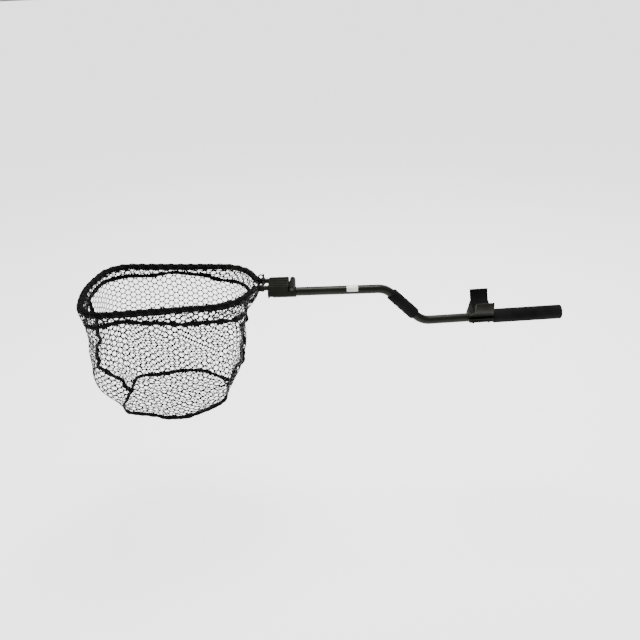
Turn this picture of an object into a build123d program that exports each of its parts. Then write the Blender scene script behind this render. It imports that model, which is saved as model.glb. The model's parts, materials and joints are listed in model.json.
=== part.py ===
from build123d import *
import os
from math import cos, radians, sin, tan

# Folding landing net for one-handed use: a bent handle with a forearm cuff and a float sleeve,
# a hinged hub, an open hoop and a deep net bag.
# Frame: origin at the middle of the hand grip, +X towards the butt, -X towards the hoop, +Z up.

# ---- driving dimensions, millimetres ----
TUBE_R = 11.1                    # handle tube, outer radius
TUBE_WALL = 1.6
FRONT_Z = 44.0                   # height of the front section's axis
TUBE_FRONT_X = -305.0            # front end of the tube, inside the hub
GRIP_ANGLE = 45.0                # slope of the hand section, degrees
REAR_RISE = 2.0                  # upward slope of the rear section, degrees
BEND_R = 46.0                    # radius of both bends, on the axis
REAR_START = (48.0, -48.0)       # X and Z of the corner under the rear bend
TUBE_REAR = 347.0                # tube end, measured along the rear axis from that corner

GRIP_R = 15.5
GRIP_LENGTH = 86.0
SLEEVE_R = 18.0
SLEEVE_START = 181.0             # distances along the rear axis
SLEEVE_END = 354.0

CUFF_R = 42.0                    # inside radius of the forearm cradle
CUFF_WALL = 4.0
CUFF_LOW = (117.0, 178.0)        # base of the cradle, along the rear axis
CUFF_TOP = (129.0, 174.0)        # upper edge of its walls
CLAMP_WALL = 3.0

HUB_HALF = 31.0                  # half width of the hub
HUB_FRONT = -335.5
HINGE = (-276.0, 65.0)           # X and Z of the fold hinge
KNUCKLE_R = 7.0
PIN_R = 2.5
YOKE_BACK = -285.0
YOKE_Z = (58.0, 66.0, 74.0)      # underside, parting plane and top
BASE_Z = (44.0, 57.7)
BASE_FRONT = -329.1
BASE_BACK = -269.0
SLOT_BACK = -311.0               # back wall of the lock's slot
GAP = 0.3                        # clearance between moving pieces

HOOP_R = 6.35
HOOP_WALL = 1.3
HOOP_Z = YOKE_Z[1]
ARM_Y = 22.0                     # half spacing of the hoop's two arms
ARM_BACK = -296.0
NECK_X = -362.0                  # where the arms turn outwards
SHOULDER = (-407.0, 118.6)
FAR_CORNER = (-769.5, 152.0)
FAR_X = -799.0
NECK_BEND, SHOULDER_BEND, CORNER_BEND, END_BEND = 14.0, 115.0, 66.0, 290.0
LACING_R = 7.75
BRACE_X = -349.0

NET = 1.6                        # thickness of the netting panels
SEAM = 2.2                       # how far a welted seam stands out
SEAM_HALF = 3.0
BAND_TOP, BAND_SEAM_Z, BOTTOM_SEAM_Z, BAG_BOTTOM = 58.0, (40.0, 34.0), -241.0, -248.0

os.makedirs("parts", exist_ok=True)


def finish(piece, name):
    piece.part.label = name
    export_step(piece.part, f"parts/{name}.step")


# ---- working planes ----
rear_dir = (cos(radians(REAR_RISE)), 0, sin(radians(REAR_RISE)))
rear_side = Plane(origin=(REAR_START[0], 0, REAR_START[1]), x_dir=rear_dir, z_dir=(0, -1, 0))


def rear_section(distance):
    """Plane across the rear axis, local x to the side and local y up."""
    origin = rear_side.from_local_coords((distance, 0, 0))
    return Plane(origin=origin, x_dir=(0, 1, 0), z_dir=rear_dir)


grip_dir = Vector(cos(radians(GRIP_ANGLE)), 0, -sin(radians(GRIP_ANGLE)))
grip_start = Plane(origin=grip_dir * (-GRIP_LENGTH / 2), x_dir=(0, 1, 0), z_dir=grip_dir)


def across_x(x):
    """Plane across the X axis, local x along +Y and local y up."""
    return Plane(origin=(x, 0, 0), x_dir=(0, 1, 0), z_dir=(1, 0, 0))


def tube_sweep(path, section, outer, inner):
    with BuildPart() as tube:
        with BuildSketch(section):
            Circle(outer)
            if inner:
                Circle(inner, mode=Mode.SUBTRACT)
        sweep(path=path)
    return tube


# ---- handle tube, its foam core and its end plug ----
front_corner = (-FRONT_Z / tan(radians(GRIP_ANGLE)), FRONT_Z)
tube_end = (REAR_START[0] + TUBE_REAR * rear_dir[0], REAR_START[1] + TUBE_REAR * rear_dir[2])
with BuildLine(Plane.XZ) as handle_path:
    FilletPolyline((TUBE_FRONT_X, FRONT_Z), front_corner, REAR_START, tube_end, radius=BEND_R)
tube_face = Plane(origin=(TUBE_FRONT_X, 0, FRONT_Z), x_dir=(0, 1, 0), z_dir=(1, 0, 0))

BOLT_XS = (-295.0, -275.0)       # cross bolts that hold the tube in the hub
handle_tube = tube_sweep(handle_path.line, tube_face, TUBE_R, TUBE_R - TUBE_WALL)
with handle_tube:
    with Locations(*[Plane(origin=(x, 0, FRONT_Z), z_dir=(0, 1, 0)) for x in BOLT_XS]):
        Cylinder(2.0, 2 * TUBE_R + 4, mode=Mode.SUBTRACT)
finish(handle_tube, "handle_tube")

CORE_X = (-262.0, -80.0)
with BuildPart() as float_core:
    with BuildSketch(across_x(CORE_X[0])):
        with Locations((0, FRONT_Z)):
            Circle(TUBE_R - TUBE_WALL)
    extrude(amount=CORE_X[1] - CORE_X[0])
finish(float_core, "float_core")

with BuildPart() as butt_plug:
    with BuildSketch(rear_section(TUBE_REAR - 18)):
        Circle(TUBE_R - TUBE_WALL)
    extrude(amount=18)
    with BuildSketch(rear_section(TUBE_REAR)):
        Circle(TUBE_R)
    extrude(amount=2.0)
finish(butt_plug, "butt_plug")

# ---- soft grips ----
with BuildPart() as hand_grip:
    with BuildSketch(grip_start):
        Circle(GRIP_R)
    extrude(amount=GRIP_LENGTH)
    fillet(hand_grip.edges().filter_by(GeomType.CIRCLE), 3.5)
    with BuildSketch(grip_start):
        Circle(TUBE_R)
    extrude(amount=GRIP_LENGTH, mode=Mode.SUBTRACT)
finish(hand_grip, "hand_grip")

with BuildPart() as butt_sleeve:
    with BuildSketch(rear_section(SLEEVE_START)):
        Circle(SLEEVE_R)
    extrude(amount=SLEEVE_END - SLEEVE_START)
    rims = butt_sleeve.edges().filter_by(GeomType.CIRCLE).sort_by(Axis.X)
    fillet(rims[-1], 5.0)
    fillet(rims[0], 1.2)
    with BuildSketch(rear_section(SLEEVE_START)):
        Circle(TUBE_R)
    extrude(amount=TUBE_REAR + 2.0 - SLEEVE_START, mode=Mode.SUBTRACT)
finish(butt_sleeve, "butt_sleeve")

# ---- blank label wrapped over the front tube ----
LABEL_X = (-141.0, -113.0)
with BuildPart() as tube_label:
    with BuildSketch(across_x(LABEL_X[0])):
        with Locations((0, FRONT_Z)):
            Circle(TUBE_R + 0.3)
            Circle(TUBE_R, mode=Mode.SUBTRACT)
            with Locations((0, -TUBE_R)):
                Rectangle(4 * TUBE_R, 2 * TUBE_R, mode=Mode.SUBTRACT)
    extrude(amount=LABEL_X[1] - LABEL_X[0])
finish(tube_label, "tube_label")

# ---- forearm cradle, its liner and the clamp below the tube ----
cradle_h = TUBE_R + 4.0 + CUFF_R            # height of the cradle's centre above the tube axis
EAR = 23.0                                  # half width of the clamping ears
EAR_H = 5.0
SCREW_S = (128.0, 167.0)                    # clamp screws, along the rear axis
SCREW_Y = 18.0
screw_spots = [rear_side.from_local_coords((s, 0, y)) for s in SCREW_S for y in (-SCREW_Y, SCREW_Y)]
clamp_up = rear_side.y_dir


def half_ring(outer, inner):
    with Locations((0, cradle_h)):
        Circle(outer)
        Circle(inner, mode=Mode.SUBTRACT)
        with Locations((0, outer)):
            Rectangle(2 * outer + 2, 2 * outer, mode=Mode.SUBTRACT)


def screw_holes(radius, low, high):
    for spot in screw_spots:
        with BuildSketch(Plane(origin=spot + clamp_up * low, x_dir=(0, 1, 0), z_dir=clamp_up)) as hole:
            Circle(radius)
        extrude(hole.sketch, amount=high - low, mode=Mode.SUBTRACT)


side_profile = [(CUFF_LOW[0], -40), (CUFF_LOW[1], -40), (CUFF_LOW[1], 14), (CUFF_TOP[1], 30),
                (CUFF_TOP[1], 80), (CUFF_TOP[0], 80), (CUFF_TOP[0], 30), (CUFF_LOW[0], 10)]
with BuildPart() as forearm_cuff:
    with BuildSketch(rear_section(CUFF_LOW[0])):
        half_ring(CUFF_R + CUFF_WALL, CUFF_R)
        with Locations((0, EAR_H / 2 + 0.25)):
            Rectangle(2 * EAR, EAR_H - 0.5)
        with BuildLine():
            Polyline((-14, 4), (-30, 26), (30, 26), (14, 4), close=True)
        make_face()
        with Locations((0, cradle_h)):
            Circle(CUFF_R, mode=Mode.SUBTRACT)
        Circle(TUBE_R, mode=Mode.SUBTRACT)
    extrude(amount=CUFF_LOW[1] - CUFF_LOW[0])
    with BuildSketch(rear_side.offset(-60)):
        with BuildLine():
            Polyline(*side_profile, close=True)
        make_face()
    extrude(amount=120, mode=Mode.INTERSECT)
    screw_holes(1.6, 0, 8)
finish(forearm_cuff, "forearm_cuff")

LINER = 3.0
with BuildPart() as cuff_liner:
    with BuildSketch(rear_section(CUFF_TOP[0] + 2)):
        half_ring(CUFF_R, CUFF_R - LINER)
    extrude(amount=CUFF_TOP[1] - CUFF_TOP[0] - 4)
finish(cuff_liner, "cuff_liner")

with BuildPart() as cuff_clamp:
    with BuildSketch(rear_section(CUFF_LOW[0] + 3)):
        Circle(TUBE_R + CLAMP_WALL)
        with Locations((0, -EAR_H / 2 - 0.25)):
            Rectangle(2 * EAR, EAR_H - 0.5)
        with Locations((0, 50)):
            Rectangle(100, 100.5, mode=Mode.SUBTRACT)
        Circle(TUBE_R, mode=Mode.SUBTRACT)
    extrude(amount=CUFF_LOW[1] - CUFF_LOW[0] - 6)
    screw_holes(1.6, -8, 0)
finish(cuff_clamp, "cuff_clamp")


def place_clamp_bits(radius, low, high):
    """Round solids on every clamp screw's axis, between two heights above the tube axis."""
    for spot in screw_spots:
        with BuildSketch(Plane(origin=spot + clamp_up * low, x_dir=(0, 1, 0), z_dir=clamp_up)) as disc:
            Circle(radius)
        extrude(disc.sketch, amount=high - low)


with BuildPart() as cuff_screws:
    place_clamp_bits(1.6, -EAR_H - 4.0, EAR_H)
    place_clamp_bits(2.9, -EAR_H - 2.6, -EAR_H)
finish(cuff_screws, "cuff_screws")


# ---- hub base: socket for the tube, slot for the lock bar and the outer hinge knuckles ----
HINGE_X, HINGE_Z = HINGE
CENTRAL = 16.4                   # half width of the yoke's knuckle
LUG_Y = (17.0, 30.0)
SLOT_HALF = 10.0
SLOT_Z = (48.3, BASE_Z[1])
RETAINER_X = (BASE_FRONT, -325.3)
RETAINER_HALF = 16.0
RETAINER_Z = (55.2, BASE_Z[1])
SOCKET_R = 13.6
SOCKET_BACK = -267.6
RETAINER_SCREW_X = -327.2
RETAINER_HEAD_R = 1.5
BOLT_SEAT = 16.0                 # half width of the bosses under the bolt heads and nuts
CHEEK_FRONT = -335.8
CHEEK_Y = (26.0, HUB_HALF)
RETAINER_SCREW_Y = 13.0


def box(x, y, z, mode=Mode.ADD):
    """Box between two corners given as (low, high) pairs."""
    middle = [(low + high) / 2 for low, high in (x, y, z)]
    with Locations(tuple(middle)):
        Box(x[1] - x[0], y[1] - y[0], z[1] - z[0], mode=mode)


def rod_y(x, z, y, radius, mode=Mode.ADD):
    """Round bar along Y."""
    with Locations(Location((x, (y[0] + y[1]) / 2, z), (90, 0, 0))):
        Cylinder(radius, y[1] - y[0], mode=mode)


def rod_x(y, z, x, radius, mode=Mode.ADD):
    """Round bar along X."""
    with Locations(Location(((x[0] + x[1]) / 2, y, z), (0, 90, 0))):
        Cylinder(radius, x[1] - x[0], mode=mode)


def rod_z(x, y, z, radius, mode=Mode.ADD):
    """Round bar along Z."""
    with Locations((x, y, (z[0] + z[1]) / 2)):
        Cylinder(radius, z[1] - z[0], mode=mode)


with BuildPart() as hub_base:
    box((BASE_FRONT, BASE_BACK), (-HUB_HALF, HUB_HALF), BASE_Z)
    fillet(hub_base.edges().filter_by(Axis.Z), 4.0)
    chamfer(hub_base.faces().sort_by(Axis.Z)[0].edges(), 2.5)
    rod_x(0, FRONT_Z, (BASE_FRONT + 4, SOCKET_BACK), SOCKET_R)
    for x in BOLT_XS:
        rod_y(x, FRONT_Z, (-BOLT_SEAT, BOLT_SEAT), 5.5)
    for side in (-1, 1):
        lug = sorted((side * LUG_Y[0], side * LUG_Y[1]))
        rod_y(HINGE_X, HINGE_Z, lug, KNUCKLE_R)
        box((HINGE_X - KNUCKLE_R, HINGE_X + KNUCKLE_R), lug, (BASE_Z[1] - 2, HINGE_Z))
        cheek = sorted((side * CHEEK_Y[0], side * CHEEK_Y[1]))
        box((CHEEK_FRONT, BASE_FRONT + 5), cheek, (BASE_Z[0] + 1.2, BASE_Z[1] - 0.4))
        box((CHEEK_FRONT, CHEEK_FRONT + 3.5), cheek, (BASE_Z[0] - 2.2, BASE_Z[0] + 2))
    rod_x(0, FRONT_Z, (TUBE_FRONT_X, SOCKET_BACK), TUBE_R, Mode.SUBTRACT)
    rod_y(HINGE_X, HINGE_Z, (-HUB_HALF, HUB_HALF), PIN_R, Mode.SUBTRACT)
    box((BASE_FRONT, SLOT_BACK), (-SLOT_HALF, SLOT_HALF), SLOT_Z, Mode.SUBTRACT)
    box(RETAINER_X, (-RETAINER_HALF, RETAINER_HALF), RETAINER_Z, Mode.SUBTRACT)
    for y in (-RETAINER_SCREW_Y, RETAINER_SCREW_Y):
        rod_z(RETAINER_SCREW_X, y, (49.0, BASE_Z[1]), 1.0, Mode.SUBTRACT)
    for x in BOLT_XS:
        rod_y(x, FRONT_Z, (-30, 30), 2.0, Mode.SUBTRACT)
        for y in ((-32, -BOLT_SEAT), (BOLT_SEAT, 32)):
            rod_y(x, FRONT_Z, y, 4.0, Mode.SUBTRACT)
finish(hub_base, "hub_base")

with BuildPart() as tube_bolts:
    for x in BOLT_XS:
        rod_y(x, FRONT_Z, (-BOLT_SEAT - 2.4, BOLT_SEAT + 3.0), 2.0)
        rod_y(x, FRONT_Z, (-BOLT_SEAT - 2.4, -BOLT_SEAT), 3.5)
finish(tube_bolts, "tube_bolts")

with BuildPart() as tube_nuts:
    for x in BOLT_XS:
        with BuildSketch(Plane(origin=(x, BOLT_SEAT, FRONT_Z), x_dir=(1, 0, 0), z_dir=(0, 1, 0))):
            RegularPolygon(3.8, 6)
            Circle(2.0, mode=Mode.SUBTRACT)
        extrude(amount=2.6)
finish(tube_nuts, "tube_nuts")

PIN_END = 32.0
with BuildPart() as hinge_pin:
    rod_y(HINGE_X, HINGE_Z, (-PIN_END, PIN_END), PIN_R)
    rod_y(HINGE_X, HINGE_Z, (-PIN_END, -LUG_Y[1]), 5.0)
    fillet(hinge_pin.edges().filter_by(GeomType.CIRCLE).sort_by(Axis.Y)[0], 1.0)
finish(hinge_pin, "hinge_pin")

with BuildPart() as pin_clip:
    rod_y(HINGE_X, HINGE_Z, (LUG_Y[1], LUG_Y[1] + 1.2), 5.0)
    rod_y(HINGE_X, HINGE_Z, (LUG_Y[1], LUG_Y[1] + 1.2), PIN_R, Mode.SUBTRACT)
finish(pin_clip, "pin_clip")

with BuildPart() as hinge_washers:
    for side in (-1, 1):
        span = sorted((side * (CENTRAL + 0.1), side * LUG_Y[0]))
        rod_y(HINGE_X, HINGE_Z, span, 6.0)
        rod_y(HINGE_X, HINGE_Z, span, PIN_R, Mode.SUBTRACT)
finish(hinge_washers, "hinge_washers")

# ---- lock: a sprung bar squeezed from the front of the hub, its hook catching the yoke ----
LOCK_TRAVEL = 4.0
BAR_FRONT = (-337.0, BASE_FRONT - LOCK_TRAVEL - 0.3)
STEM_BACK = -321.0
LEDGE_BACK = -325.3              # rear edge of the yoke's ledge
NOSE_X = (-329.0, STEM_BACK - 0.5)
with BuildPart() as lock_bar:
    box(BAR_FRONT, (0.6 - CHEEK_Y[0], CHEEK_Y[0] - 0.6), (43.0, 56.6))
    fillet(lock_bar.edges().filter_by(Axis.X), 3.0)
    box((BAR_FRONT[1] - 1, STEM_BACK), (GAP - SLOT_HALF, SLOT_HALF - GAP), (SLOT_Z[0] + GAP, 54.9))
    box((LEDGE_BACK + GAP, STEM_BACK - 0.5), (-6, 6), (54, 64))
    box(NOSE_X, (-6, 6), (YOKE_Z[0] + 3.3, 64))
finish(lock_bar, "lock_bar")

with BuildPart() as lock_retainer:
    box(RETAINER_X, (-RETAINER_HALF, RETAINER_HALF), RETAINER_Z)
    for y in (-RETAINER_SCREW_Y, RETAINER_SCREW_Y):
        rod_z(RETAINER_SCREW_X, y, RETAINER_Z, 1.0, Mode.SUBTRACT)
        rod_z(RETAINER_SCREW_X, y, (RETAINER_Z[1] - 1, RETAINER_Z[1]), RETAINER_HEAD_R, Mode.SUBTRACT)
finish(lock_retainer, "lock_retainer")

with BuildPart() as retainer_screws:
    for y in (-RETAINER_SCREW_Y, RETAINER_SCREW_Y):
        rod_z(RETAINER_SCREW_X, y, (49.5, RETAINER_Z[1] - 0.2), 1.0)
        rod_z(RETAINER_SCREW_X, y, (RETAINER_Z[1] - 1, RETAINER_Z[1] - 0.2), RETAINER_HEAD_R)
finish(retainer_screws, "retainer_screws")

SPRING_R, SPRING_WIRE, SPRING_Z = 2.2, 0.35, 52.0
with BuildPart() as lock_spring:
    with BuildLine() as coil:
        Helix(pitch=2.1, height=SLOT_BACK - STEM_BACK - 2 * SPRING_WIRE, radius=SPRING_R,
              center=(STEM_BACK + SPRING_WIRE, 0, SPRING_Z), direction=(1, 0, 0))
    with BuildSketch(Plane(origin=coil.line @ 0, z_dir=coil.line % 0)):
        Circle(SPRING_WIRE)
    sweep(path=coil.line, is_frenet=True)
finish(lock_spring, "lock_spring")

# ---- yoke: two shells that hold the hoop's arms, with the middle hinge knuckle ----
YOKE_SCREWS = [(x, y) for x in (-331.5, -293.0) for y in (-12.5, 12.5)]
ARM_PIN_X = -310.0


def arm_bores():
    for side in (-1, 1):
        rod_x(side * ARM_Y, HOOP_Z, (HUB_FRONT, ARM_BACK), HOOP_R, Mode.SUBTRACT)


with BuildPart() as yoke_lower:
    box((HUB_FRONT, YOKE_BACK), (-HUB_HALF, HUB_HALF), (YOKE_Z[0], YOKE_Z[1]))
    fillet(yoke_lower.edges().filter_by(Axis.Z), 4.0)
    rod_y(HINGE_X, HINGE_Z, (-CENTRAL, CENTRAL), KNUCKLE_R)
    box((YOKE_BACK - 2, HINGE_X), (-CENTRAL, CENTRAL), (HINGE_Z - KNUCKLE_R, YOKE_Z[1]))
    arm_bores()
    rod_y(HINGE_X, HINGE_Z, (-CENTRAL, CENTRAL), PIN_R + 0.05, Mode.SUBTRACT)
    box((-329.5, -314.0), (-7, 7), (YOKE_Z[0] + 3.0, YOKE_Z[1]), Mode.SUBTRACT)
    box((LEDGE_BACK, -314.0), (-7, 7), (YOKE_Z[0], YOKE_Z[0] + 3.0), Mode.SUBTRACT)
    for x, y in YOKE_SCREWS:
        rod_z(x, y, (YOKE_Z[0] + 1.5, YOKE_Z[1]), 1.4, Mode.SUBTRACT)
    for side in (-1, 1):
        rod_z(ARM_PIN_X, side * ARM_Y, (YOKE_Z[0], YOKE_Z[1]), 2.0, Mode.SUBTRACT)
        rod_z(ARM_PIN_X, side * ARM_Y, (YOKE_Z[0], YOKE_Z[0] + 1.4), 3.2, Mode.SUBTRACT)
finish(yoke_lower, "yoke_lower")

RIB_YS = (-20.5, -7.0, 7.0, 20.5)
COVER_TOP = 72.6
with BuildPart() as yoke_cover:
    box((HUB_FRONT, YOKE_BACK), (-HUB_HALF, HUB_HALF), (YOKE_Z[1], COVER_TOP))
    fillet(yoke_cover.edges().filter_by(Axis.Z), 4.0)
    fillet(yoke_cover.faces().sort_by(Axis.Z)[-1].edges(), 2.0)
    for y in RIB_YS:
        with Locations(((HUB_FRONT + YOKE_BACK) / 2, y, (COVER_TOP + YOKE_Z[2]) / 2 - 0.3)):
            Box(44, 6.5, YOKE_Z[2] - COVER_TOP + 0.6)
    fillet(yoke_cover.faces().filter_by(Plane.XY).sort_by(Axis.Z)[-4:].edges(), 0.7)
    arm_bores()
    for x, y in YOKE_SCREWS:
        rod_z(x, y, (YOKE_Z[1], YOKE_Z[2]), 1.4, Mode.SUBTRACT)
        rod_z(x, y, (COVER_TOP - 2.2, YOKE_Z[2]), 2.7, Mode.SUBTRACT)
    for side in (-1, 1):
        rod_z(ARM_PIN_X, side * ARM_Y, (YOKE_Z[1], 71.5), 2.0, Mode.SUBTRACT)
finish(yoke_cover, "yoke_cover")

with BuildPart() as yoke_screws:
    for x, y in YOKE_SCREWS:
        rod_z(x, y, (YOKE_Z[0] + 2.0, COVER_TOP - 2.2), 1.4)
        rod_z(x, y, (COVER_TOP - 2.2, COVER_TOP - 0.3), 2.6)
finish(yoke_screws, "yoke_screws")

with BuildPart() as arm_pins:
    for side in (-1, 1):
        rod_z(ARM_PIN_X, side * ARM_Y, (YOKE_Z[0] + 0.2, 71.3), 2.0)
        rod_z(ARM_PIN_X, side * ARM_Y, (YOKE_Z[0] + 0.2, YOKE_Z[0] + 1.4), 3.1)
finish(arm_pins, "arm_pins")

# ---- hoop ----
half = [(ARM_BACK, ARM_Y), (NECK_X, ARM_Y), SHOULDER, FAR_CORNER]
corners = half + [(FAR_X, 0)] + [(x, -y) for x, y in reversed(half)]
bends = [NECK_BEND, SHOULDER_BEND, CORNER_BEND]
with BuildLine(Plane.XY.offset(HOOP_Z)) as hoop_path:
    FilletPolyline(*corners, radius=bends + [END_BEND] + bends[::-1])
arm_face = Plane(origin=(ARM_BACK, ARM_Y, HOOP_Z), x_dir=(0, 1, 0), z_dir=(-1, 0, 0))
hoop_tube = tube_sweep(hoop_path.line, arm_face, HOOP_R, HOOP_R - HOOP_WALL)
with hoop_tube:
    for side in (-1, 1):
        rod_z(ARM_PIN_X, side * ARM_Y, (YOKE_Z[0], YOKE_Z[2]), 2.0, Mode.SUBTRACT)
finish(hoop_tube, "hoop_tube")

EYE_R, EYE_WIRE = 5.0, 1.5
with BuildPart() as throat_brace:
    for side in (-1, 1):
        rod_x(side * ARM_Y, HOOP_Z, (BRACE_X - 3.8, BRACE_X + 3.8), HOOP_R + 2.6)
    rod_y(BRACE_X, HOOP_Z, (-ARM_Y, ARM_Y), 3.6)
    with Locations(Location((BRACE_X, ARM_Y + 6, HOOP_Z + 11), (0, 90, 30))):
        Torus(EYE_R, EYE_WIRE)
    for side in (-1, 1):
        rod_x(side * ARM_Y, HOOP_Z, (BRACE_X - 6, BRACE_X + 6), HOOP_R, Mode.SUBTRACT)
finish(throat_brace, "throat_brace")

# ---- net bag: laced rim, band, two wall panels, bottom panel and the welted seams between them ----
LACE_START = BRACE_X - 3.95
lace_half = [(LACE_START, ARM_Y)] + half[1:]
lace_corners = lace_half + [(FAR_X, 0)] + [(x, -y) for x, y in reversed(lace_half)]
with BuildLine(Plane.XY.offset(HOOP_Z)) as lace_path:
    FilletPolyline(*lace_corners, radius=bends + [END_BEND] + bends[::-1])
lace_face = Plane(origin=(LACE_START, ARM_Y, HOOP_Z), x_dir=(0, 1, 0), z_dir=(-1, 0, 0))
rim_lacing = tube_sweep(lace_path.line, lace_face, LACING_R, HOOP_R)
finish(rim_lacing, "rim_lacing")

# height: far edge, far corner, shoulder, near corner, then the four bends
LEVELS = {
    BAND_TOP: (FAR_X, FAR_CORNER, SHOULDER, (-365.0, 24.0), (290, 66, 100, 12)),
    BAND_SEAM_Z[1]: (-793.0, (-771.0, 151.0), (-440.0, 114.0), (-390.0, 50.0), (290, 66, 60, 35)),
    -10.0: (-790.0, (-776.0, 149.0), (-424.0, 121.0), (-398.0, 46.0), (290, 64, 70, 30)),
    -60.0: (-791.0, (-782.0, 148.0), (-436.0, 123.0), (-411.0, 58.0), (290, 60, 60, 30)),
    -145.0: (-812.0, (-776.0, 150.0), (-446.0, 130.0), (-419.0, 62.0), (290, 64, 70, 30)),
    BOTTOM_SEAM_Z: (-740.0, (-737.0, 104.0), (-600.0, 148.0), (-469.0, 72.0), (100, 45, 150, 40)),
}


def outline(height, grow):
    """Face of the bag's plan at one height, grown or shrunk sideways."""
    far_x, far, shoulder, near, radii = LEVELS[height]
    side = [far, shoulder, near]
    points = [(far_x, 0)] + side + [(x, -y) for x, y in reversed(side)]
    with BuildSketch(Plane.XY.offset(height)) as face:
        with BuildLine():
            FilletPolyline(*points, radius=list(radii) + list(radii[:0:-1]), close=True)
        make_face()
        offset(amount=grow, mode=Mode.REPLACE)
    return face.sketch


def bag_solid(grow):
    with BuildPart() as solid:
        loft([outline(z, grow) for z in LEVELS if z < BAND_TOP], ruled=True)
    return solid.part


def band_solid(grow):
    foot = outline(BAND_SEAM_Z[1], grow).moved(Location((0, 0, seam_drop)))
    with BuildPart() as solid:
        loft([outline(BAND_TOP, grow), foot], ruled=True)
    return solid.part


seam_drop = BAND_SEAM_Z[0] - BAND_SEAM_Z[1]
with BuildPart() as net_band:
    add(band_solid(NET / 2))
    add(band_solid(-NET / 2), mode=Mode.SUBTRACT)
finish(net_band, "net_band")

with BuildPart() as bottom_seam:
    extrude(outline(BOTTOM_SEAM_Z, NET / 2 + SEAM), amount=BAG_BOTTOM - BOTTOM_SEAM_Z)
    extrude(outline(BOTTOM_SEAM_Z, -NET / 2), amount=BAG_BOTTOM - BOTTOM_SEAM_Z, mode=Mode.SUBTRACT)
finish(bottom_seam, "bottom_seam")

with BuildPart() as band_seam:
    extrude(outline(BAND_SEAM_Z[1], NET / 2 + SEAM), amount=seam_drop)
    extrude(outline(BAND_SEAM_Z[1], -NET / 2), amount=seam_drop, mode=Mode.SUBTRACT)
finish(band_seam, "band_seam")

with BuildPart() as net_bottom:
    with Locations((0, 0, BAG_BOTTOM - BOTTOM_SEAM_Z)):
        add(outline(BOTTOM_SEAM_Z, -NET / 2))
    extrude(amount=NET)
finish(net_bottom, "net_bottom")

inside, panel, welt = bag_solid(-NET / 2), bag_solid(NET / 2), bag_solid(NET / 2 + SEAM)
WIDE, DEEP, MIDDLE_X = 400.0, (BAG_BOTTOM - 5, BAND_TOP), -600.0
pieces = {
    "net_wall_front": (panel, (-1000, 0), (-WIDE, -SEAM_HALF)),
    "net_wall_rear": (panel, (-1000, 0), (SEAM_HALF, WIDE)),
    "far_seam": (welt, (-1000, MIDDLE_X), (-SEAM_HALF, SEAM_HALF)),
    "near_seam": (welt, (MIDDLE_X, 0), (-SEAM_HALF, SEAM_HALF)),
}
for name, (solid, x_span, y_span) in pieces.items():
    with BuildPart() as piece:
        add(solid)
        add(inside, mode=Mode.SUBTRACT)
        box(x_span, y_span, DEEP, Mode.INTERSECT)
    finish(piece, name)
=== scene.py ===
"""Folding landing net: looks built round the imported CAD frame.

The frame is in metres, +Z up and +X towards the butt. Outlines and routes below are in millimetres.
"""
import json
import math

import bmesh
import bpy
import numpy as np
from mathutils import Matrix, Vector, noise


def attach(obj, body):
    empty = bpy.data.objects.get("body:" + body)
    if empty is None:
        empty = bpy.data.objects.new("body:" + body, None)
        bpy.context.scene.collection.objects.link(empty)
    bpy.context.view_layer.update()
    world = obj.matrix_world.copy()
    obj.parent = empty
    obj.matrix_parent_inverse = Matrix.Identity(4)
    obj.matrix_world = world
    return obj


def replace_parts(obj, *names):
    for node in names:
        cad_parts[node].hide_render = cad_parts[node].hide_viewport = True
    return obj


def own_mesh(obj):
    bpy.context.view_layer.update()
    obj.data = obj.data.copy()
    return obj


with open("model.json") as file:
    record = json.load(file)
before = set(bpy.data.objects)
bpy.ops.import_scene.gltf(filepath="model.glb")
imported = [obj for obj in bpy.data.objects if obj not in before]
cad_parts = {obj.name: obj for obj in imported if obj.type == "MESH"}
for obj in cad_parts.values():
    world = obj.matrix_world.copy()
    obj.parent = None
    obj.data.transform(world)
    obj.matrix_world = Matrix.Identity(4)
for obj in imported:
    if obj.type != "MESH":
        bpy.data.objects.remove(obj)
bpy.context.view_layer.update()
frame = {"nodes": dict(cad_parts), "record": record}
MM = 0.001
rng = np.random.default_rng(7)

# ---- the bag's plan at several heights ----
# each row holds the apex, far corner, shoulder and near corner, then the bend radii at those four
LEVELS = {
    58: ((-799, 0), (-769.5, 152), (-407, 118.6), (-365, 24), (290, 66, 100, 12)),
    34: ((-792, 0), (-771, 151), (-440, 114), (-391, 50), (200, 66, 60, 35)),
    -10: ((-784, 0), (-776, 149), (-424, 121), (-398, 46), (150, 64, 70, 30)),
    -60: ((-784, 0), (-782, 148), (-436, 123), (-411, 58), (150, 60, 60, 30)),
    -110: ((-797, 0), (-769, 149), (-440, 126), (-413, 60), (150, 60, 60, 30)),
    -145: ((-811, 0), (-757, 148), (-446, 130), (-419, 62), (150, 64, 70, 30)),
    -165: ((-792, 0), (-748, 145), (-456, 133), (-431, 63), (150, 64, 75, 30)),
    -205: ((-744, 0), (-733, 126), (-500, 142), (-455, 66), (100, 60, 100, 35)),
    -247: ((-720, 0), (-728, 90), (-592, 140), (-466, 66), (60, 40, 110, 35)),
}
HEIGHTS = np.array(sorted(LEVELS, reverse=True), float)
RIM_LEVEL = 58                   # the highest outline
BAG_MID_X = -600
HALF_SAMPLES = 161
HOOP_Z = 66.0
WRAP_R = 8.9                     # netting wrapped round the hoop tube
BAND_Z = 36.0                    # middle height of the band's seam
BOTTOM_Z = -247.0
COLUMN = 13.3                    # half the spacing of cells along a row
ROW = 15.9
STRAND = 2.3
KNOT = 0.2                       # half the length of the short strand between two cells, in columns
SEAM_PULL = 0.05                 # share of a half turn over which an end seam gathers the net
# heights of the two wavy seams at even steps from the far end to the near end
FRONT_SEAM = (40, 20, 30, 45, 35, 25, 25, 10, 20)
REAR_SEAM = (40, 45, 40, 40, 50, 45, 30, 35, 20)
FRONT_FOOT = (-235, -230, -225, -235, -240, -235, -225)
REAR_FOOT = (-235, -240, -250, -250, -245, -250, -225)


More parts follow.
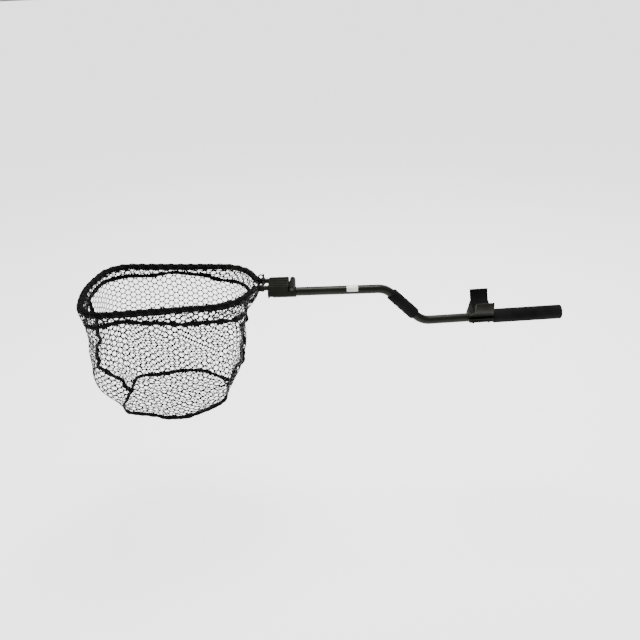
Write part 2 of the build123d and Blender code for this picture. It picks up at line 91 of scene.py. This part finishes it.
def rounded(points, radii, closed=True):
    """Polyline of straight runs joined by arcs, as (x, y) rows."""
    out = []
    count = len(points)
    for i, radius in enumerate(radii):
        p = np.array(points[i], float)
        before = np.array(points[i - 1], float) - p
        after = np.array(points[(i + 1) % count], float) - p
        before, after = before / np.linalg.norm(before), after / np.linalg.norm(after)
        half = math.acos(np.clip(before @ after, -1, 1)) / 2
        if not closed and i in (0, count - 1) or half > math.pi / 2 - 0.01:
            out.append(p)
            continue
        bisector = (before + after) / np.linalg.norm(before + after)
        centre = p + bisector * radius / math.sin(half)
        start, end = p + before * radius / math.tan(half), p + after * radius / math.tan(half)
        a0 = math.atan2(*(start - centre)[::-1])
        turn = math.atan2(*(end - centre)[::-1]) - a0
        turn = (turn + math.pi) % (2 * math.pi) - math.pi
        steps = max(3, int(abs(turn) / 0.12))
        for k in range(steps + 1):
            a = a0 + turn * k / steps
            out.append(centre + radius * np.array([math.cos(a), math.sin(a)]))
    return np.array(out)


def resample(line, count):
    along = np.concatenate([[0], np.cumsum(np.linalg.norm(np.diff(line, axis=0), axis=1))])
    want = np.linspace(0, along[-1], count)
    return np.stack([np.interp(want, along, line[:, k]) for k in range(line.shape[1])], 1)


def front_half(level):
    """The front half of one outline, from the far end to the near end."""
    apex, far, shoulder, near, bends = LEVELS[level]
    side = [far, shoulder, near]
    points = [apex] + side + [(x, -y) for x, y in reversed(side)]
    loop = rounded(points, list(bends) + list(bends[:0:-1]))
    order = np.argsort([math.atan2(-y, BAG_MID_X - x) % (2 * math.pi) for x, y in loop])
    loop = loop[order]
    front = loop[loop[:, 1] < -0.5]
    if front[0, 0] > front[-1, 0]:
        front = front[::-1]
    on_far_side = loop[loop[:, 0] <= BAG_MID_X]
    far_mid = np.array([on_far_side[np.argmin(np.abs(on_far_side[:, 1]))][0], 0.0])
    near_mid = np.array([near[0], 0.0])
    return resample(np.vstack([far_mid, front, near_mid]), HALF_SAMPLES)


OUTLINES = np.array([front_half(int(z)) for z in HEIGHTS])


def smooth_rows(rows, heights, z):
    """Catmull-Rom through the rows at their heights."""
    z = min(max(z, heights[-1]), heights[0])
    k = int(np.clip(np.searchsorted(-heights, -z) - 1, 0, len(heights) - 2))
    t = (heights[k] - z) / (heights[k] - heights[k + 1])
    a, b, c, d = (rows[min(max(i, 0), len(rows) - 1)] for i in (k - 1, k, k + 1, k + 2))
    square = (2 * a - 5 * b + 4 * c - d) * t * t
    cube = (3 * b - a - 3 * c + d) * t ** 3
    return 0.5 * (2 * b + (c - a) * t + square + cube)


def ease(t):
    return t * t * (3 - 2 * t)


def along_list(heights, u):
    """Smooth height at a place u, from heights at even steps."""
    place = min(max(u, 0.0), 1.0) * (len(heights) - 1)
    k = min(int(place), len(heights) - 2)
    return heights[k] + (heights[k + 1] - heights[k]) * ease(place - k)


def wobble(x, y, z, size, seed):
    return noise.noise(Vector((x / size + seed, y / size, z / size)))


def bag_point(u, z, side):
    """Point of the bag in millimetres: u from the far end to the near end, side -1 front, +1 rear."""
    row = smooth_rows(OUTLINES, HEIGHTS, z)
    u = min(max(u, 0.0), 1.0)
    k = u * (HALF_SAMPLES - 1)
    i = min(int(k), HALF_SAMPLES - 2)
    xy = row[i] * (1 - (k - i)) + row[i + 1] * (k - i)
    tangent = row[min(i + 3, HALF_SAMPLES - 1)] - row[max(i - 2, 0)]
    normal = np.array([tangent[1], -tangent[0]]) / (np.linalg.norm(tangent) + 1e-9)
    below = np.clip((BAND_Z - z) / 50, 0, 1)
    inner = min(1.0, min(u, 1 - u) / SEAM_PULL)
    swell = 6.0 * wobble(xy[0], xy[1] * side, z, 90, 3.7 + side)
    swell += 3.0 * wobble(xy[0], xy[1] * side, z, 34, 9.1 + side)
    pulled = 3.5 * math.sin(z / 9.5 + 4 * u) + 2.0 * math.sin(z / 4.9 + 1.3)
    offset = below * (swell * inner + pulled * (1 - inner) ** 2)
    xy = xy + normal * offset
    return np.array([xy[0], -side * xy[1], z])


def half_length(z):
    row = smooth_rows(OUTLINES, HEIGHTS, z)
    return float(np.linalg.norm(np.diff(row, axis=0), axis=1).sum())


def seam_height(u, side):
    return along_list(FRONT_SEAM if side < 0 else REAR_SEAM, u)


def bottom_height(u, side):
    return along_list(FRONT_FOOT if side < 0 else REAR_FOOT, u)


# ---- building blocks ----
def smooth(obj):
    for p in obj.data.polygons:
        p.use_smooth = True
    return obj


def make_object(name, points, faces, body="hoop"):
    mesh = bpy.data.meshes.new(name)
    mesh.from_pydata([tuple(p) for p in points], [], [tuple(int(i) for i in f) for f in faces])
    mesh.validate()
    mesh.update()
    obj = bpy.data.objects.new(name, mesh)
    bpy.context.scene.collection.objects.link(obj)
    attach(obj, body)
    return obj


def bake_modifiers(obj):
    depsgraph = bpy.context.evaluated_depsgraph_get()
    mesh = bpy.data.meshes.new_from_object(obj.evaluated_get(depsgraph))
    obj.modifiers.clear()
    old = obj.data
    obj.data = mesh
    mesh.name = old.name
    bpy.data.meshes.remove(old)
    return smooth(obj)


def hex_cells(width, height, column=COLUMN, row=ROW, shift=0.0):
    """Flat-topped hexagons that cover a strip, centred on s = 0, with t from 0 down to height."""
    corners = [(1 - KNOT, 0), (KNOT, 0.5), (-KNOT, 0.5), (KNOT - 1, 0), (-KNOT, -0.5), (KNOT, -0.5)]
    cells = []
    for i in range(-int(width / 2 / column) - 2, int(width / 2 / column) + 3):
        for j in range(-1, int(height / row) + 2):
            s, t = i * column + shift, (j + 0.5 * (i % 2)) * row
            cells.append([(s + a * column, t + b * row) for a, b in corners])
    return cells


def clip_low(poly, value, axis, sign):
    """Keeps the part of a polygon where sign * (coordinate - value) is at least 0."""
    out = []
    for k, p in enumerate(poly):
        q = poly[(k + 1) % len(poly)]
        dp, dq = sign * (p[axis] - value), sign * (q[axis] - value)
        if dp >= 0:
            out.append(p)
        if dp * dq < 0:
            f = dp / (dp - dq)
            out.append((p[0] + (q[0] - p[0]) * f, p[1] + (q[1] - p[1]) * f))
    return out


def clip_box(cells, low_s, high_s, low_t, high_t):
    kept = []
    for poly in cells:
        for value, axis, sign in ((low_s, 0, 1), (high_s, 0, -1), (low_t, 1, 1), (high_t, 1, -1)):
            poly = clip_low(poly, value, axis, sign) if poly else poly
        if len(poly) >= 3:
            kept.append(poly)
    return kept


def net_object(name, cells, place, jitter=0.7):
    """Netting: one closed lattice along every edge of the cells, which place() puts in space."""
    index, points, faces = {}, [], []
    for poly in cells:
        face = []
        for p in poly:
            key = (round(p[0] * 4), round(p[1] * 4))
            if key not in index:
                index[key] = len(points)
                moved = np.array(p) + rng.normal(0, jitter, 2) * 0.5
                points.append(place(*moved) * MM)
            if index[key] not in face:
                face.append(index[key])
        if len(face) >= 3:
            faces.append(face)
    obj = make_object(name, points, faces)
    wire = obj.modifiers.new("strands", "WIREFRAME")
    wire.thickness = STRAND * MM
    wire.use_replace = True
    wire.use_even_offset = False
    wire.use_boundary = True
    round_off = obj.modifiers.new("round", "SUBSURF")
    round_off.levels = round_off.render_levels = 1
    bake_modifiers(obj)
    return obj


def tube_along(name, line, wide, thick, up=None, sides=12, closed=True, slot="welt",
               rough=0.0, seed=1.0, body="hoop"):
    """Oval welt along a line of points in millimetres: thick across the surface, wide along it."""
    line = np.asarray(line, float)
    count = len(line)
    points, faces = [], []
    for i in range(count):
        before = line[i - 1] if closed or i else line[i]
        after = line[(i + 1) % count] if closed or i < count - 1 else line[i]
        t = (after - before) / np.linalg.norm(after - before)
        out = up[i] if up is not None else np.array([0, 0, 1.0])
        out = out - t * (out @ t)
        out /= np.linalg.norm(out)
        other = np.cross(t, out)
        swell = 1 + rough * wobble(*line[i], 14, seed)
        for k in range(sides):
            a = 2 * math.pi * k / sides
            offset = out * thick / 2 * swell * math.cos(a) + other * wide / 2 * swell * math.sin(a)
            points.append((line[i] + offset) * MM)
    rings = count if closed else count - 1
    for i in range(rings):
        j = (i + 1) % count
        for k in range(sides):
            m = (k + 1) % sides
            faces.append((i * sides + k, i * sides + m, j * sides + m, j * sides + k))
    if not closed:
        faces.append(tuple(range(sides))[::-1])
        faces.append(tuple(range((count - 1) * sides, count * sides)))
    obj = smooth(make_object(name, points, faces, body))
    return obj


# ---- materials ----
def material(name, base, rough, metallic=0.0, sheen=0.0, coat=0.0, specular=0.5):
    mat = bpy.data.materials.new(name)
    mat.use_nodes = True
    tree = mat.node_tree
    shader = tree.nodes["Principled BSDF"]
    shader.inputs["Base Color"].default_value = (*base, 1)
    shader.inputs["Roughness"].default_value = rough
    shader.inputs["Metallic"].default_value = metallic
    shader.inputs["Sheen Weight"].default_value = sheen
    shader.inputs["Coat Weight"].default_value = coat
    shader.inputs["Specular IOR Level"].default_value = specular
    coords = tree.nodes.new("ShaderNodeTexCoord")
    return mat, tree, shader, coords.outputs["Object"]


def node(tree, kind, **values):
    made = tree.nodes.new(kind)
    for key, value in values.items():
        if key in made.inputs:
            made.inputs[key].default_value = value
        else:
            setattr(made, key, value)
    return made


def noise_texture(tree, coords, scale, detail=4.0, stretch=None):
    tex = node(tree, "ShaderNodeTexNoise", Scale=scale, Detail=detail)
    if stretch:
        mapping = node(tree, "ShaderNodeMapping")
        mapping.inputs["Scale"].default_value = stretch
        tree.links.new(coords, mapping.inputs["Vector"])
        coords = mapping.outputs["Vector"]
    tree.links.new(coords, tex.inputs["Vector"])
    return tex.outputs["Fac"]


def vary_colour(tree, shader, factor, dark, light):
    ramp = node(tree, "ShaderNodeValToRGB")
    ramp.color_ramp.elements[0].position, ramp.color_ramp.elements[1].position = 0.3, 0.7
    ramp.color_ramp.elements[0].color = (*dark, 1)
    ramp.color_ramp.elements[1].color = (*light, 1)
    tree.links.new(factor, ramp.inputs["Fac"])
    tree.links.new(ramp.outputs["Color"], shader.inputs["Base Color"])


def vary_rough(tree, shader, factor, low, high):
    span = node(tree, "ShaderNodeMapRange")
    span.inputs["To Min"].default_value = low
    span.inputs["To Max"].default_value = high
    tree.links.new(factor, span.inputs["Value"])
    tree.links.new(span.outputs["Result"], shader.inputs["Roughness"])


def add_bump(tree, shader, height, strength, distance):
    bump = node(tree, "ShaderNodeBump", Strength=strength, Distance=distance)
    tree.links.new(height, bump.inputs["Height"])
    tree.links.new(bump.outputs["Normal"], shader.inputs["Normal"])


def anodised():
    mat, tree, shader, coords = material(
        "anodised_tube", (0.02, 0.021, 0.017), 0.3, metallic=0.25, specular=0.12)
    brushed = noise_texture(tree, coords, 60, stretch=(2, 40, 40))
    vary_rough(tree, shader, brushed, 0.26, 0.44)
    vary_colour(tree, shader, noise_texture(tree, coords, 14),
                (0.007, 0.0075, 0.0055), (0.013, 0.0135, 0.01))
    add_bump(tree, shader, brushed, 0.08, 0.0002)
    return mat


def moulded():
    mat, tree, shader, coords = material("moulded_shell", (0.02, 0.02, 0.017), 0.45, specular=0.05)
    grain = noise_texture(tree, coords, 1600, 3.0)
    add_bump(tree, shader, grain, 0.25, 0.0002)
    vary_colour(tree, shader, noise_texture(tree, coords, 30),
                (0.005, 0.005, 0.0038), (0.01, 0.01, 0.0075))
    vary_rough(tree, shader, noise_texture(tree, coords, 45), 0.42, 0.6)
    return mat


def foam():
    mat, tree, shader, coords = material(
        "closed_cell_foam", (0.012, 0.012, 0.012), 0.9, specular=0.08)
    cells = node(tree, "ShaderNodeTexVoronoi", Scale=900)
    tree.links.new(coords, cells.inputs["Vector"])
    add_bump(tree, shader, cells.outputs["Distance"], 0.55, 0.0004)
    vary_colour(tree, shader, noise_texture(tree, coords, 25),
                (0.003, 0.003, 0.0033), (0.007, 0.007, 0.007))
    return mat


def rubber_net():
    mat, tree, shader, coords = material("coated_mesh", (0.012, 0.012, 0.012), 0.42, specular=0.06)
    vary_colour(tree, shader, noise_texture(tree, coords, 40),
                (0.002, 0.002, 0.002), (0.006, 0.006, 0.0055))
    vary_rough(tree, shader, noise_texture(tree, coords, 120), 0.34, 0.55)
    add_bump(tree, shader, noise_texture(tree, coords, 900), 0.2, 0.0003)
    return mat


def woven(name, dark, light, scale):
    mat, tree, shader, coords = material(name, dark, 0.85, specular=0.05)
    warp = node(tree, "ShaderNodeTexWave", Scale=scale, Distortion=0.6, bands_direction="X")
    weft = node(tree, "ShaderNodeTexWave", Scale=scale * 0.9, Distortion=0.6, bands_direction="Z")
    weave = node(tree, "ShaderNodeMath", operation="MULTIPLY")
    for wave, socket in ((warp, 0), (weft, 1)):
        tree.links.new(coords, wave.inputs["Vector"])
        tree.links.new(wave.outputs["Fac"], weave.inputs[socket])
    add_bump(tree, shader, weave.outputs["Value"], 0.5, 0.0005)
    vary_colour(tree, shader, noise_texture(tree, coords, 60), dark, light)
    return mat


def steel(name, base, rough):
    mat, tree, shader, coords = material(name, base, rough, metallic=0.9)
    vary_rough(tree, shader, noise_texture(tree, coords, 300), rough - 0.08, rough + 0.12)
    add_bump(tree, shader, noise_texture(tree, coords, 700), 0.1, 0.0001)
    return mat


def label_film():
    mat, tree, shader, coords = material("label_film", (0.8, 0.8, 0.78), 0.4, coat=0.3)
    vary_colour(tree, shader, noise_texture(tree, coords, 120),
                (0.62, 0.62, 0.6), (0.86, 0.86, 0.84))
    add_bump(tree, shader, noise_texture(tree, coords, 250), 0.1, 0.0002)
    return mat


MATERIALS = {
    "tube": anodised(), "shell": moulded(), "foam": foam(), "netting": rubber_net(),
    "welt": woven("woven_binding", (0.002, 0.002, 0.0022), (0.005, 0.005, 0.0055), 420),
    "steel": steel("black_steel", (0.025, 0.025, 0.026), 0.38),
    "spring": steel("spring_wire", (0.5, 0.5, 0.52), 0.28), "label": label_film(),
}


def paint(obj, slot):
    obj.data.materials.clear()
    obj.data.materials.append(MATERIALS[slot])
    return obj


slots = {entry["node"]: entry["material_slot"] for entry in frame["record"]["subparts"]}
for name, obj in frame["nodes"].items():
    for index in range(max(1, len(obj.material_slots))):
        if obj.material_slots:
            obj.material_slots[index].material = MATERIALS[slots[name]]


# ---- the net: two wall panels ----
WALL_DROP = 292.0


def wall_height(u, side, t):
    top, bottom = seam_height(u, side), bottom_height(u, side)
    return top - (top - bottom) * t / WALL_DROP


def wall_place(side):
    def place(s, t):
        z = BAND_Z - t
        for _ in range(2):
            u = min(max(0.5 + s / half_length(z), 0.0), 1.0)
            z = wall_height(u, side, min(max(t, 0), WALL_DROP))
        return bag_point(u, z, side)
    return place


SPLIT_Z = 60.0                   # above this the net goes round the tube and keeps its shape


def squashed(obj):
    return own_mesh(obj)


for side, word in ((-1, "front"), (1, "rear")):
    cells = []
    for poly in hex_cells(half_length(BAND_Z) + 60, WALL_DROP, shift=3.1 * side):
        middle = sum(p[1] for p in poly) / len(poly)
        limit = half_length(BAND_Z - min(max(middle, 0), WALL_DROP)) / 2
        cells += clip_box([poly], -limit, limit, 0, WALL_DROP)
    wall = paint(net_object(f"mesh_wall_{word}", cells, wall_place(side)), "netting")
    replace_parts(wall, f"net_wall_{word}")
    squashed(wall)

# ---- the double sleeve: outer leg, turn round the tube, inner leg ----
SLACK = 1.12
TURN = math.pi * WRAP_R
LEG_REACH = 70                   # longest leg that the sleeve's cells cover
SPLIT_W = (HOOP_Z - SPLIT_Z) * SLACK


def sleeve_place(side):
    length = half_length(RIM_LEVEL)

    def place(s, w):
        u = min(max(0.5 + s / length, 0.0), 1.0)
        row = OUTLINES[0]
        k = u * (HALF_SAMPLES - 1)
        i = min(int(k), HALF_SAMPLES - 2)
        centre = row[i] * (1 - (k - i)) + row[i + 1] * (k - i)
        tangent = row[min(i + 2, HALF_SAMPLES - 1)] - row[max(i - 1, 0)]
        out = np.array([tangent[1], -tangent[0]]) / np.linalg.norm(tangent)
        if 0 < w < TURN:
            angle = w / WRAP_R
            xy = centre + out * WRAP_R * math.cos(angle)
            z = HOOP_Z + WRAP_R * math.sin(angle)
        else:
            low = seam_height(u, side)
            base = bag_point(u, low, side)
            base = np.array([base[0], -side * base[1]])
            layer = 1.0 if w <= 0 else -1.0
            share = 1 - max(-w, w - TURN) / SLACK / (HOOP_Z - low)
            hang = max(share, 0.0) ** (1 - 0.6 * ease(min(max((u - 0.86) / 0.12, 0.0), 1.0)))
            xy = (base + out * 1.8 * layer) * (1 - hang) + (centre + out * WRAP_R * layer) * hang
            z = low + (HOOP_Z - low) * share
            loose = 3.0 * math.sin(math.pi * min(max(share, 0), 1)) * layer
            xy = xy + out * loose * wobble(xy[0], xy[1] * side, z, 26, 5.0 + side + layer)
        return np.array([xy[0], -side * xy[1], z])
    return place


for side, word in ((-1, "front"), (1, "rear")):
    width = half_length(RIM_LEVEL)
    grid = hex_cells(width + 40, 2 * LEG_REACH + TURN, shift=5.0 * side)
    legs = {"outer": [], "wrap": [], "inner": []}
    for poly in grid:
        poly = [(a, b - LEG_REACH) for a, b in poly]
        u = min(max(0.5 + sum(p[0] for p in poly) / len(poly) / width, 0.0), 1.0)
        leg = SLACK * (HOOP_Z - seam_height(u, side))
        legs["outer"] += clip_box([poly], -width / 2, width / 2, -leg, -SPLIT_W)
        legs["wrap"] += clip_box([poly], -width / 2, width / 2, -SPLIT_W, TURN + SPLIT_W)
        legs["inner"] += clip_box([poly], -width / 2, width / 2, TURN + SPLIT_W, TURN + leg)
    for part_name, cells in legs.items():
        piece = net_object(f"mesh_band_{part_name}_{word}", cells, sleeve_place(side), 0.5)
        paint(piece, "netting")
        if part_name == "wrap":
            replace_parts(piece, "rim_lacing")
        else:
            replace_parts(piece, "net_band")
            squashed(piece)

# binding round the hoop tube, under the turned netting
rim = [p for p in OUTLINES[0] if abs(p[1]) > 24 or p[0] < -500]
rim = [(x, y, HOOP_Z) for x, y in rim] + [(-358.5, -22, HOOP_Z), (-353.2, -22, HOOP_Z)]
rim = [(x, -y, z) for x, y, z in rim[:0:-1]] + rim
binding = tube_along("rim_binding", rim, 15.2, 15.2, sides=18, closed=False, rough=0.12, seed=4.0)
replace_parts(paint(binding, "welt"), "rim_lacing")

# gathered end of the sleeve where it crosses the throat, and the keeper ring beside it
throat = [(-366.5 + 5.5 * (1 - (y / 30) ** 2), y, 63.5) for y in np.linspace(-31, 31, 21)]
throat_end = tube_along("mesh_throat", throat, 7.0, 6.0, closed=False, rough=0.6, seed=2.0)
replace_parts(paint(throat_end, "welt"), "rim_lacing")
loop = [(-356 + 5.6 * math.cos(a), 28.5 + 0.8 * math.sin(a), 75 + 5.0 * math.sin(a))
        for a in np.linspace(0, 2 * math.pi, 32, endpoint=False)]
paint(tube_along("keeper_ring", loop, 3.8, 3.8, up=np.tile([0.0, 1.0, 0.0], (32, 1))), "welt")

# ---- bottom panel ----
BOTTOM_MID = np.array([-603.0, 0.0])
BOTTOM_R = 138.0


def loop_points(height_of, count):
    """Closed line round the bag at height_of(u, side), with its outward directions."""
    points, sides = [], []
    for side in (-1, 1):
        for k in range(count):
            u = k / count if side < 0 else 1 - k / count
            z = height_of(u, side)
            points.append(bag_point(u, z, side))
            sides.append(side)
    points = np.array(points)
    ahead, behind = np.roll(points, -1, axis=0), np.roll(points, 1, axis=0)
    tangent = ahead - behind
    outward = np.stack([tangent[:, 1], -tangent[:, 0], np.zeros(len(points))], 1)
    outward /= np.linalg.norm(outward, axis=1)[:, None]
    return points, outward


bottom_loop, bottom_out = loop_points(bottom_height, 150)
loop_angle = np.unwrap(np.arctan2(bottom_loop[:, 1], bottom_loop[:, 0] - BOTTOM_MID[0]))
loop_angle = loop_angle % (2 * math.pi)
loop_reach = np.linalg.norm(bottom_loop[:, :2] - BOTTOM_MID, axis=1)
order = np.argsort(loop_angle)
turn_angle, turn_reach, turn_z = loop_angle[order], loop_reach[order], bottom_loop[order, 2]


def bottom_place(x, y):
    r, a = math.hypot(x, y), math.atan2(y, x) % (2 * math.pi)
    reach = np.interp(a, turn_angle, turn_reach, period=2 * math.pi)
    edge = np.interp(a, turn_angle, turn_z, period=2 * math.pi)
    share = min(r / BOTTOM_R, 1.0)
    z = edge * share ** 2 + (BOTTOM_Z - 4) * (1 - share ** 2)
    z += -9.0 * (1 - share ** 2) * share ** 1.2 + 3.0 * wobble(x, y, 0, 45, 2.2) * (1 - share ** 4)
    return np.array([BOTTOM_MID[0] + x / BOTTOM_R * reach, y / BOTTOM_R * reach, z])


def rotated(point, angle):
    cosine, sine = math.cos(angle), math.sin(angle)
    return (point[0] * cosine - point[1] * sine, point[0] * sine + point[1] * cosine)


cells = []
for poly in hex_cells(2 * BOTTOM_R + 40, 2 * BOTTOM_R + 40):
    poly = [(s, t - BOTTOM_R - 8) for s, t in poly]
    cx, cy = (sum(p[k] for p in poly) / len(poly) for k in (0, 1))
    a = math.atan2(cy, cx)
    turned = clip_low([rotated(p, -a) for p in poly], BOTTOM_R, 0, -1)
    if len(turned) >= 3:
        cells.append([rotated(q, a) for q in turned])
floor_net = paint(net_object("mesh_bottom", cells, bottom_place), "netting")
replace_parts(floor_net, "net_bottom")
squashed(floor_net)

# ---- welted seams ----
WELT = (11.0, 7.0)


def seam_line(u, count):
    """Line down one end of the bag, from the rim over the band to the bottom seam."""
    place, length = sleeve_place(-1), half_length(RIM_LEVEL)
    low, foot = seam_height(u, -1), bottom_height(u, -1)
    heights = np.linspace(SPLIT_Z + 1, low + 2, 18)
    band_part = [place((u - 0.5) * length, -SLACK * (HOOP_Z - z)) for z in heights]
    wall_part = [bag_point(u, z, -1) for z in np.linspace(low, foot, count)]
    return np.array([[p[0], 0.0, p[2]] for p in band_part + wall_part])


band_loop, band_out = loop_points(seam_height, 320)
band = tube_along("welt_band", band_loop, *WELT, up=band_out, rough=0.5, seed=1.0)
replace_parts(band, "band_seam")
bottom = tube_along("welt_bottom", bottom_loop, *WELT, up=bottom_out, rough=0.5, seed=5.0)
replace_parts(bottom, "bottom_seam")
far = seam_line(0.0, 110)
far_welt = tube_along("welt_far", far, 11.0, 10.0, up=np.tile([-1.0, 0, 0.2], (len(far), 1)),
                      closed=False, rough=0.5, seed=8.0)
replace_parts(far_welt, "far_seam")
near = seam_line(1.0, 110)
near_welt = tube_along("welt_near", near, 11.0, 9.0, up=np.tile([1.0, 0, 0.2], (len(near), 1)),
                       closed=False, rough=0.5, seed=11.0)
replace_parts(near_welt, "near_seam")
for welt in (band, bottom, far_welt, near_welt):
    squashed(paint(welt, "welt"))


# ---- foam grip, float sleeve and liner ----
def lathe(name, start, end, profile, sides=64, body="handle"):
    """Round piece about the line from start to end.

    The profile has rows of distance along the line and radius, in metres.
    """
    start, end = Vector(start), Vector(end)
    axis = (end - start).normalized()
    side = axis.cross(Vector((0, 1, 0))).normalized()
    other = axis.cross(side)
    points, faces = [], []
    for along, radius in profile:
        for k in range(sides):
            a = 2 * math.pi * k / sides
            points.append(start + axis * along + (side * math.cos(a) + other * math.sin(a)) * radius)
    for i in range(len(profile) - 1):
        for k in range(sides):
            m = (k + 1) % sides
            faces.append((i * sides + k, (i + 1) * sides + k, (i + 1) * sides + m, i * sides + m))
    faces.append(tuple(range(sides)))
    faces.append(tuple(range((len(profile) - 1) * sides, len(profile) * sides))[::-1])
    return smooth(make_object(name, points, faces, body))


def rolled(length, radius, inner, lip, waves=0.0):
    """Profile of a foam tube with rolled ends."""
    rows = [(0.0, inner)]
    for k in range(7):
        a = math.pi / 2 * k / 6
        rows.append((lip * (1 - math.cos(a)), radius - lip + lip * math.sin(a)))
    for k in range(1, 24):
        t = k / 24
        along = lip + (length - 2 * lip) * t
        rows.append((along, radius + waves * math.sin(math.pi * t) * math.cos(2 * math.pi * 4 * t)))
    for k in range(7):
        a = math.pi / 2 * (1 - k / 6)
        rows.append((length - lip * (1 - math.cos(a)), radius - lip + lip * math.sin(a)))
    rows.append((length, inner))
    return rows


mounts = {mount["name"]: mount for mount in frame["record"]["mounts"]}
FOAM_BORE_R = 0.0112
GRIP_HALF = 0.0425
GRIP_R = 0.0154
grip_start = Vector(mounts["hand_grip"]["axis"]) * -GRIP_HALF
grip_rows = rolled(2 * GRIP_HALF, GRIP_R, FOAM_BORE_R, 0.0035, 0.0004)
hand = lathe("foam_grip", grip_start, -grip_start, grip_rows)
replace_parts(paint(hand, "foam"), "hand_grip")

BUTT_LENGTH = 0.1730
BUTT_R = 0.0179
butt_dir = Vector(mounts["rod_holder_butt"]["axis"])
butt_start = Vector(mounts["rod_holder_butt"]["pos_m"]) - butt_dir * (BUTT_LENGTH / 2)
butt_rows = rolled(BUTT_LENGTH, BUTT_R, FOAM_BORE_R, 0.0045, 0.0001)
sleeve = lathe("foam_sleeve", butt_start, butt_start + butt_dir, butt_rows)
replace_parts(paint(sleeve, "foam"), "butt_sleeve")

# ---- cradle liner: a crowned pad with two pressed lines ----
REAR_RISE = math.radians(2)
REAR_START = np.array([48.0, 0, -48.0])
REAR_DIR = np.array([math.cos(REAR_RISE), 0, math.sin(REAR_RISE)])
REAR_UP = np.array([-math.sin(REAR_RISE), 0, math.cos(REAR_RISE)])
CRADLE_H, CRADLE_R = 57.1, 41.9


def cradle_point(along, angle, radius):
    up = CRADLE_H - radius * math.cos(angle)
    across = np.array([0, radius * math.sin(angle), 0])
    return (REAR_START + REAR_DIR * along + REAR_UP * up + across) * MM


def liner_thickness(a, b):
    crown = (1 - abs(a) ** 14) * (1 - abs(b) ** 6)
    line = sum(math.exp(-((a - mid) / 0.02) ** 2) for mid in (-0.36, 0.36))
    return 0.5 + (2.6 - 0.9 * line) * crown


AROUND, ACROSS = 121, 25         # grid of the pad
LINER_MID, LINER_HALF = 151.5, 20
LINER_ANGLE = math.radians(87)
points, faces = [], []
for under in (False, True):
    for i in range(AROUND):
        for j in range(ACROSS):
            a, b = 2 * i / (AROUND - 1) - 1, 2 * j / (ACROSS - 1) - 1
            inward = 0 if under else liner_thickness(a, b)
            points.append(cradle_point(LINER_MID + LINER_HALF * b, LINER_ANGLE * a, CRADLE_R - inward))
half_count = AROUND * ACROSS
for i in range(AROUND - 1):
    for j in range(ACROSS - 1):
        k = i * ACROSS + j
        quad = (k, k + 1, k + ACROSS + 1, k + ACROSS)
        faces += [quad[::-1], tuple(half_count + q for q in quad)]
edge = [i * ACROSS for i in range(AROUND)] + [(AROUND - 1) * ACROSS + j for j in range(1, ACROSS)]
edge += [i * ACROSS + ACROSS - 1 for i in range(AROUND - 2, -1, -1)] + list(range(ACROSS - 2, 0, -1))
faces += [(p, q, q + half_count, p + half_count) for p, q in zip(edge, edge[1:] + edge[:1])]
liner = paint(smooth(make_object("cradle_pad", points, faces, "handle")), "foam")
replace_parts(liner, "cuff_liner")

# ---- lock spring ----
COIL_FROM, COIL_TO, TURNS = -320.6, -311.4, 4.4
COIL_R, COIL_Z, WIRE = 2.2, 52, 0.7
COIL_STEPS = 140
coil, radial = [], []
for k in range(COIL_STEPS + 1):
    share = k / COIL_STEPS
    a = 2 * math.pi * TURNS * share
    radial.append([0, math.cos(a), math.sin(a)])
    coil.append([COIL_FROM + (COIL_TO - COIL_FROM) * share,
                 COIL_R * math.cos(a), COIL_Z + COIL_R * math.sin(a)])
spring = tube_along("press_spring", coil, WIRE, WIRE, up=np.array(radial), sides=8, closed=False,
                    slot="spring", body="handle")
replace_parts(paint(spring, "spring"), "lock_spring")
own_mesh(spring)

# ---- stage, light and camera ----
FLOOR_Z = -0.62
bpy.ops.mesh.primitive_plane_add(size=60, location=(0, 0, FLOOR_Z))
floor = bpy.context.object
floor.name = "floor"
white = bpy.data.materials.new("floor_white")
white.use_nodes = True
floor_shader = white.node_tree.nodes["Principled BSDF"]
floor_shader.inputs["Base Color"].default_value = (0.9, 0.9, 0.9, 1)
floor_shader.inputs["Roughness"].default_value = 0.9
floor_shader.inputs["Emission Color"].default_value = (1, 1, 1, 1)
floor_shader.inputs["Emission Strength"].default_value = 1.9
floor.data.materials.append(white)

world = bpy.data.worlds.new("studio")
bpy.context.scene.world = world
world.use_nodes = True
world.node_tree.nodes["Background"].inputs["Color"].default_value = (1, 1, 1, 1)
world.node_tree.nodes["Background"].inputs["Strength"].default_value = 0.4


def area_light(name, place, aim, size, power):
    data = bpy.data.lights.new(name, "AREA")
    data.size, data.energy = size, power
    lamp = bpy.data.objects.new(name, data)
    bpy.context.scene.collection.objects.link(lamp)
    lamp.location = place
    lamp.rotation_euler = (Vector(aim) - Vector(place)).to_track_quat("-Z", "Y").to_euler()


area_light("key", (-0.3, 0.4, 2.3), (-0.2, 0, 0), 1.2, 110)
area_light("rim", (0.8, 1.6, 1.6), (-0.1, 0, 0), 1.4, 30)

AIM = Vector((-0.211, 0, -0.038))
AZIMUTH = math.radians(1.28)
ELEVATION = math.radians(26.83)
ROLL = math.radians(-2.44)
DISTANCE = 1.878
away = Vector((math.sin(AZIMUTH) * math.cos(ELEVATION),
               -math.cos(AZIMUTH) * math.cos(ELEVATION),
               math.sin(ELEVATION)))
camera_data = bpy.data.cameras.new("camera")
camera_data.lens = 41.4
camera_data.sensor_width = 36
camera = bpy.data.objects.new("camera", camera_data)
bpy.context.scene.collection.objects.link(camera)
camera.location = AIM + away * DISTANCE
turn = (-away).to_track_quat("-Z", "Y").to_matrix().to_4x4()
camera.rotation_euler = (turn @ Matrix.Rotation(ROLL, 4, "Z")).to_euler()
bpy.context.scene.camera = camera
